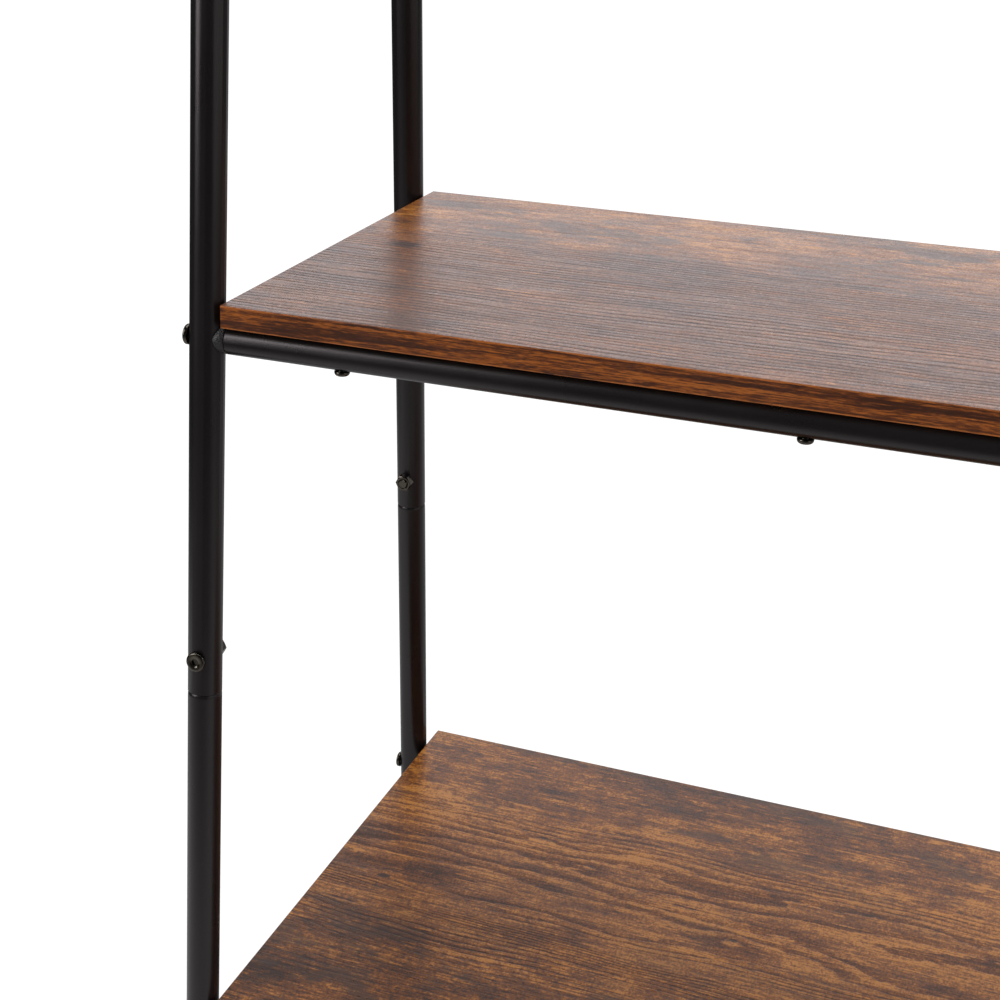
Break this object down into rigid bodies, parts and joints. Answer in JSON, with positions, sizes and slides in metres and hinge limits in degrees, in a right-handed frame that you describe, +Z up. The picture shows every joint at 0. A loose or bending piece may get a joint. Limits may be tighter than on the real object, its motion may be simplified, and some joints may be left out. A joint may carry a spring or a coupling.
{
  "type": "clothes rack with shelves",
  "caption": "Free-standing clothes rack: black tube side frames that lean together, a hanging rail across the top and wood-effect shelves bolted between them on cross rails.",
  "frame": {"origin": "on the floor, under the middle of the rack", "axes": "+Z up, +X to the right along the rails, -Y to the front, where the boards' edges are flush with the rails"},
  "size_m": [0.8442, 0.481, 1.65],
  "materials": {
    "frame_black": "satin black powder coat",
    "fitting_black": "moulded, fine grain",
    "fastener_dark": "black nickel",
    "board_brown": "rustic brown laminate, satin"
  },
  "bodies": {
    "root": {"left_upper_frame": "frame_black", "left_front_leg": "frame_black", "left_front_foot": "fitting_black", "left_front_joint_bolt": "fastener_dark", "left_front_joint_nut": "fastener_dark", "left_rear_leg": "frame_black", "left_rear_foot": "fitting_black", "left_rear_joint_bolt": "fastener_dark", "left_rear_joint_nut": "fastener_dark", "right_upper_frame": "frame_black", "right_front_leg": "frame_black", "right_front_foot": "fitting_black", "right_front_joint_bolt": "fastener_dark", "right_front_joint_nut": "fastener_dark", "right_rear_leg": "frame_black", "right_rear_foot": "fitting_black", "right_rear_joint_bolt": "fastener_dark", "right_rear_joint_nut": "fastener_dark", "hanging_rail": "frame_black", "hanging_rail_left_saddle": "fitting_black", "hanging_rail_left_bolt": "fastener_dark", "hanging_rail_right_saddle": "fitting_black", "hanging_rail_right_bolt": "fastener_dark", "upper_front_rail": "frame_black", "upper_front_rail_left_saddle": "fitting_black", "upper_front_rail_left_bolt": "fastener_dark", "upper_front_rail_right_saddle": "fitting_black", "upper_front_rail_right_bolt": "fastener_dark", "upper_rear_rail": "frame_black", "upper_rear_rail_left_saddle": "fitting_black", "upper_rear_rail_left_bolt": "fastener_dark", "upper_rear_rail_right_saddle": "fitting_black", "upper_rear_rail_right_bolt": "fastener_dark", "lower_front_rail": "frame_black", "lower_front_rail_left_saddle": "fitting_black", "lower_front_rail_left_bolt": "fastener_dark", "lower_front_rail_right_saddle": "fitting_black", "lower_front_rail_right_bolt": "fastener_dark", "lower_rear_rail": "frame_black", "lower_rear_rail_left_saddle": "fitting_black", "lower_rear_rail_left_bolt": "fastener_dark", "lower_rear_rail_right_saddle": "fitting_black", "lower_rear_rail_right_bolt": "fastener_dark", "upper_shelf": "board_brown", "upper_front_screw_1": "fastener_dark", "upper_front_screw_2": "fastener_dark", "upper_front_screw_3": "fastener_dark", "upper_rear_screw_1": "fastener_dark", "upper_rear_screw_2": "fastener_dark", "upper_rear_screw_3": "fastener_dark", "lower_shelf": "board_brown", "lower_front_screw_1": "fastener_dark", "lower_front_screw_2": "fastener_dark", "lower_front_screw_3": "fastener_dark", "lower_rear_screw_1": "fastener_dark", "lower_rear_screw_2": "fastener_dark", "lower_rear_screw_3": "fastener_dark"}
  },
  "joints": []
}
